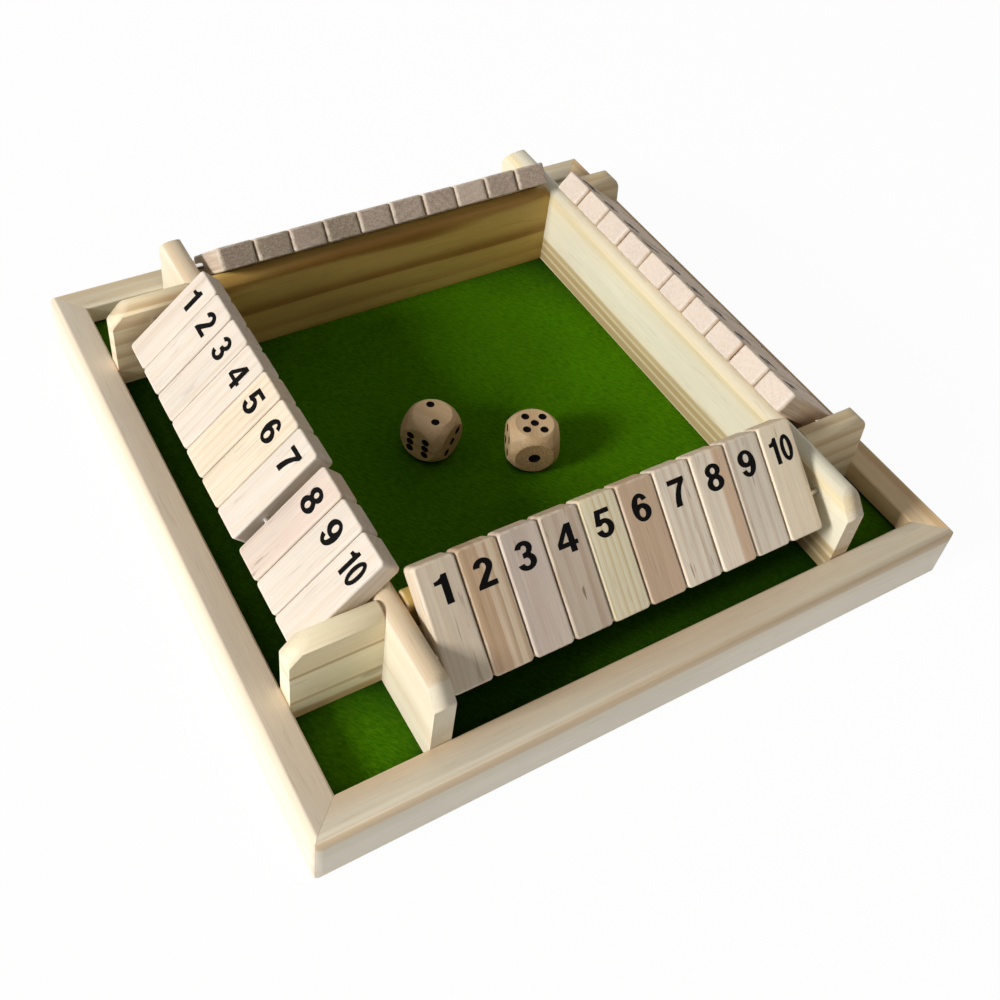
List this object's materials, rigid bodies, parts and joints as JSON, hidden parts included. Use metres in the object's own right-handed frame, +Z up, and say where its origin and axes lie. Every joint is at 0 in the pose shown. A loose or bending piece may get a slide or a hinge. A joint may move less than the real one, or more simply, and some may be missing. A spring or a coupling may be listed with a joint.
{
  "type": "shut the box game",
  "caption": "Square four-player shut the box game: walled felt arena in a mitred wooden tray, rows of numbered wooden tiles that flip on steel rods, and wooden dice.",
  "frame": {"origin": "middle of the tray's underside, on the table", "axes": "+Z up, +X to the right along the front rail, -Y towards the front rail"},
  "size_m": [0.22, 0.22, 0.0554],
  "materials": {
    "plywood": "raw plywood",
    "green_felt": "matte felt",
    "rail_pine": "thin satin varnish",
    "wall_pine": "thin satin varnish",
    "rod_steel": "bright drawn wire",
    "tile_wood": "thin satin varnish",
    "dice_wood": "satin"
  },
  "bodies": {
    "tray": {"base_board": "plywood", "felt": "green_felt", "front_rail": "rail_pine", "right_rail": "rail_pine", "back_rail": "rail_pine", "left_rail": "rail_pine", "left_wall": "wall_pine", "right_wall": "wall_pine", "front_wall": "wall_pine", "back_wall": "wall_pine", "left_front_wing": "wall_pine", "left_back_wing": "wall_pine", "right_front_wing": "wall_pine", "right_back_wing": "wall_pine", "front_rod": "rod_steel", "right_rod": "rod_steel", "back_rod": "rod_steel", "left_rod": "rod_steel"},
    "front_tile_01": {"front_tile_01": "tile_wood"},
    "front_tile_02": {"front_tile_02": "tile_wood"},
    "front_tile_03": {"front_tile_03": "tile_wood"},
    "front_tile_04": {"front_tile_04": "tile_wood"},
    "front_tile_05": {"front_tile_05": "tile_wood"},
    "front_tile_06": {"front_tile_06": "tile_wood"},
    "front_tile_07": {"front_tile_07": "tile_wood"},
    "front_tile_08": {"front_tile_08": "tile_wood"},
    "front_tile_09": {"front_tile_09": "tile_wood"},
    "front_tile_10": {"front_tile_10": "tile_wood"},
    "right_tile_01": {"right_tile_01": "tile_wood"},
    "right_tile_02": {"right_tile_02": "tile_wood"},
    "right_tile_03": {"right_tile_03": "tile_wood"},
    "right_tile_04": {"right_tile_04": "tile_wood"},
    "right_tile_05": {"right_tile_05": "tile_wood"},
    "right_tile_06": {"right_tile_06": "tile_wood"},
    "right_tile_07": {"right_tile_07": "tile_wood"},
    "right_tile_08": {"right_tile_08": "tile_wood"},
    "right_tile_09": {"right_tile_09": "tile_wood"},
    "right_tile_10": {"right_tile_10": "tile_wood"},
    "back_tile_01": {"back_tile_01": "tile_wood"},
    "back_tile_02": {"back_tile_02": "tile_wood"},
    "back_tile_03": {"back_tile_03": "tile_wood"},
    "back_tile_04": {"back_tile_04": "tile_wood"},
    "back_tile_05": {"back_tile_05": "tile_wood"},
    "back_tile_06": {"back_tile_06": "tile_wood"},
    "back_tile_07": {"back_tile_07": "tile_wood"},
    "back_tile_08": {"back_tile_08": "tile_wood"},
    "back_tile_09": {"back_tile_09": "tile_wood"},
    "back_tile_10": {"back_tile_10": "tile_wood"},
    "left_tile_01": {"left_tile_01": "tile_wood"},
    "left_tile_02": {"left_tile_02": "tile_wood"},
    "left_tile_03": {"left_tile_03": "tile_wood"},
    "left_tile_04": {"left_tile_04": "tile_wood"},
    "left_tile_05": {"left_tile_05": "tile_wood"},
    "left_tile_06": {"left_tile_06": "tile_wood"},
    "left_tile_07": {"left_tile_07": "tile_wood"},
    "left_tile_08": {"left_tile_08": "tile_wood"},
    "left_tile_09": {"left_tile_09": "tile_wood"},
    "left_tile_10": {"left_tile_10": "tile_wood"},
    "left_die": {"left_die": "dice_wood"},
    "right_die": {"right_die": "dice_wood"}
  },
  "joints": [
    {"name": "front_tile_01_flip", "type": "hinge", "parent": "tray", "child": "front_tile_01", "pos_m": [0, -0.0858, 0.0364], "axis": [1, 0, 0], "range_deg": [0, 170]},
    {"name": "front_tile_02_flip", "type": "hinge", "parent": "tray", "child": "front_tile_02", "pos_m": [0, -0.0858, 0.0364], "axis": [1, 0, 0], "range_deg": [0, 170]},
    {"name": "front_tile_03_flip", "type": "hinge", "parent": "tray", "child": "front_tile_03", "pos_m": [0, -0.0858, 0.0364], "axis": [1, 0, 0], "range_deg": [0, 170]},
    {"name": "front_tile_04_flip", "type": "hinge", "parent": "tray", "child": "front_tile_04", "pos_m": [0, -0.0858, 0.0364], "axis": [1, 0, 0], "range_deg": [0, 170]},
    {"name": "front_tile_05_flip", "type": "hinge", "parent": "tray", "child": "front_tile_05", "pos_m": [0, -0.0858, 0.0364], "axis": [1, 0, 0], "range_deg": [0, 170]},
    {"name": "front_tile_06_flip", "type": "hinge", "parent": "tray", "child": "front_tile_06", "pos_m": [0, -0.0858, 0.0364], "axis": [1, 0, 0], "range_deg": [0, 170]},
    {"name": "front_tile_07_flip", "type": "hinge", "parent": "tray", "child": "front_tile_07", "pos_m": [0, -0.0858, 0.0364], "axis": [1, 0, 0], "range_deg": [0, 170]},
    {"name": "front_tile_08_flip", "type": "hinge", "parent": "tray", "child": "front_tile_08", "pos_m": [0, -0.0858, 0.0364], "axis": [1, 0, 0], "range_deg": [0, 170]},
    {"name": "front_tile_09_flip", "type": "hinge", "parent": "tray", "child": "front_tile_09", "pos_m": [0, -0.0858, 0.0364], "axis": [1, 0, 0], "range_deg": [0, 170]},
    {"name": "front_tile_10_flip", "type": "hinge", "parent": "tray", "child": "front_tile_10", "pos_m": [0, -0.0858, 0.0364], "axis": [1, 0, 0], "range_deg": [0, 170]},
    {"name": "right_tile_01_flip", "type": "hinge", "parent": "tray", "child": "right_tile_01", "pos_m": [0.0858, 0, 0.0364], "axis": [0, 1, 0], "range_deg": [0, 170]},
    {"name": "right_tile_02_flip", "type": "hinge", "parent": "tray", "child": "right_tile_02", "pos_m": [0.0858, 0, 0.0364], "axis": [0, 1, 0], "range_deg": [0, 170]},
    {"name": "right_tile_03_flip", "type": "hinge", "parent": "tray", "child": "right_tile_03", "pos_m": [0.0858, 0, 0.0364], "axis": [0, 1, 0], "range_deg": [0, 170]},
    {"name": "right_tile_04_flip", "type": "hinge", "parent": "tray", "child": "right_tile_04", "pos_m": [0.0858, 0, 0.0364], "axis": [0, 1, 0], "range_deg": [0, 170]},
    {"name": "right_tile_05_flip", "type": "hinge", "parent": "tray", "child": "right_tile_05", "pos_m": [0.0858, 0, 0.0364], "axis": [0, 1, 0], "range_deg": [0, 170]},
    {"name": "right_tile_06_flip", "type": "hinge", "parent": "tray", "child": "right_tile_06", "pos_m": [0.0858, 0, 0.0364], "axis": [0, 1, 0], "range_deg": [0, 170]},
    {"name": "right_tile_07_flip", "type": "hinge", "parent": "tray", "child": "right_tile_07", "pos_m": [0.0858, 0, 0.0364], "axis": [0, 1, 0], "range_deg": [0, 170]},
    {"name": "right_tile_08_flip", "type": "hinge", "parent": "tray", "child": "right_tile_08", "pos_m": [0.0858, 0, 0.0364], "axis": [0, 1, 0], "range_deg": [0, 170]},
    {"name": "right_tile_09_flip", "type": "hinge", "parent": "tray", "child": "right_tile_09", "pos_m": [0.0858, 0, 0.0364], "axis": [0, 1, 0], "range_deg": [0, 170]},
    {"name": "right_tile_10_flip", "type": "hinge", "parent": "tray", "child": "right_tile_10", "pos_m": [0.0858, 0, 0.0364], "axis": [0, 1, 0], "range_deg": [0, 170]},
    {"name": "back_tile_01_flip", "type": "hinge", "parent": "tray", "child": "back_tile_01", "pos_m": [0, 0.0858, 0.0364], "axis": [-1, 0, 0], "range_deg": [0, 170]},
    {"name": "back_tile_02_flip", "type": "hinge", "parent": "tray", "child": "back_tile_02", "pos_m": [0, 0.0858, 0.0364], "axis": [-1, 0, 0], "range_deg": [0, 170]},
    {"name": "back_tile_03_flip", "type": "hinge", "parent": "tray", "child": "back_tile_03", "pos_m": [0, 0.0858, 0.0364], "axis": [-1, 0, 0], "range_deg": [0, 170]},
    {"name": "back_tile_04_flip", "type": "hinge", "parent": "tray", "child": "back_tile_04", "pos_m": [0, 0.0858, 0.0364], "axis": [-1, 0, 0], "range_deg": [0, 170]},
    {"name": "back_tile_05_flip", "type": "hinge", "parent": "tray", "child": "back_tile_05", "pos_m": [0, 0.0858, 0.0364], "axis": [-1, 0, 0], "range_deg": [0, 170]},
    {"name": "back_tile_06_flip", "type": "hinge", "parent": "tray", "child": "back_tile_06", "pos_m": [0, 0.0858, 0.0364], "axis": [-1, 0, 0], "range_deg": [0, 170]},
    {"name": "back_tile_07_flip", "type": "hinge", "parent": "tray", "child": "back_tile_07", "pos_m": [0, 0.0858, 0.0364], "axis": [-1, 0, 0], "range_deg": [0, 170]},
    {"name": "back_tile_08_flip", "type": "hinge", "parent": "tray", "child": "back_tile_08", "pos_m": [0, 0.0858, 0.0364], "axis": [-1, 0, 0], "range_deg": [0, 170]},
    {"name": "back_tile_09_flip", "type": "hinge", "parent": "tray", "child": "back_tile_09", "pos_m": [0, 0.0858, 0.0364], "axis": [-1, 0, 0], "range_deg": [0, 170]},
    {"name": "back_tile_10_flip", "type": "hinge", "parent": "tray", "child": "back_tile_10", "pos_m": [0, 0.0858, 0.0364], "axis": [-1, 0, 0], "range_deg": [0, 170]},
    {"name": "left_tile_01_flip", "type": "hinge", "parent": "tray", "child": "left_tile_01", "pos_m": [-0.0858, 0, 0.0364], "axis": [0, -1, 0], "range_deg": [0, 170]},
    {"name": "left_tile_02_flip", "type": "hinge", "parent": "tray", "child": "left_tile_02", "pos_m": [-0.0858, 0, 0.0364], "axis": [0, -1, 0], "range_deg": [0, 170]},
    {"name": "left_tile_03_flip", "type": "hinge", "parent": "tray", "child": "left_tile_03", "pos_m": [-0.0858, 0, 0.0364], "axis": [0, -1, 0], "range_deg": [0, 170]},
    {"name": "left_tile_04_flip", "type": "hinge", "parent": "tray", "child": "left_tile_04", "pos_m": [-0.0858, 0, 0.0364], "axis": [0, -1, 0], "range_deg": [0, 170]},
    {"name": "left_tile_05_flip", "type": "hinge", "parent": "tray", "child": "left_tile_05", "pos_m": [-0.0858, 0, 0.0364], "axis": [0, -1, 0], "range_deg": [0, 170]},
    {"name": "left_tile_06_flip", "type": "hinge", "parent": "tray", "child": "left_tile_06", "pos_m": [-0.0858, 0, 0.0364], "axis": [0, -1, 0], "range_deg": [0, 170]},
    {"name": "left_tile_07_flip", "type": "hinge", "parent": "tray", "child": "left_tile_07", "pos_m": [-0.0858, 0, 0.0364], "axis": [0, -1, 0], "range_deg": [0, 170]},
    {"name": "left_tile_08_flip", "type": "hinge", "parent": "tray", "child": "left_tile_08", "pos_m": [-0.0858, 0, 0.0364], "axis": [0, -1, 0], "range_deg": [0, 170]},
    {"name": "left_tile_09_flip", "type": "hinge", "parent": "tray", "child": "left_tile_09", "pos_m": [-0.0858, 0, 0.0364], "axis": [0, -1, 0], "range_deg": [0, 170]},
    {"name": "left_tile_10_flip", "type": "hinge", "parent": "tray", "child": "left_tile_10", "pos_m": [-0.0858, 0, 0.0364], "axis": [0, -1, 0], "range_deg": [0, 170]},
    {"name": "left_die_lift", "type": "slide", "parent": "tray", "child": "left_die", "axis": [0, 0, 1], "range_m": [0, 0.06]},
    {"name": "right_die_lift", "type": "slide", "parent": "tray", "child": "right_die", "axis": [0, 0, 1], "range_m": [0, 0.06]}
  ]
}
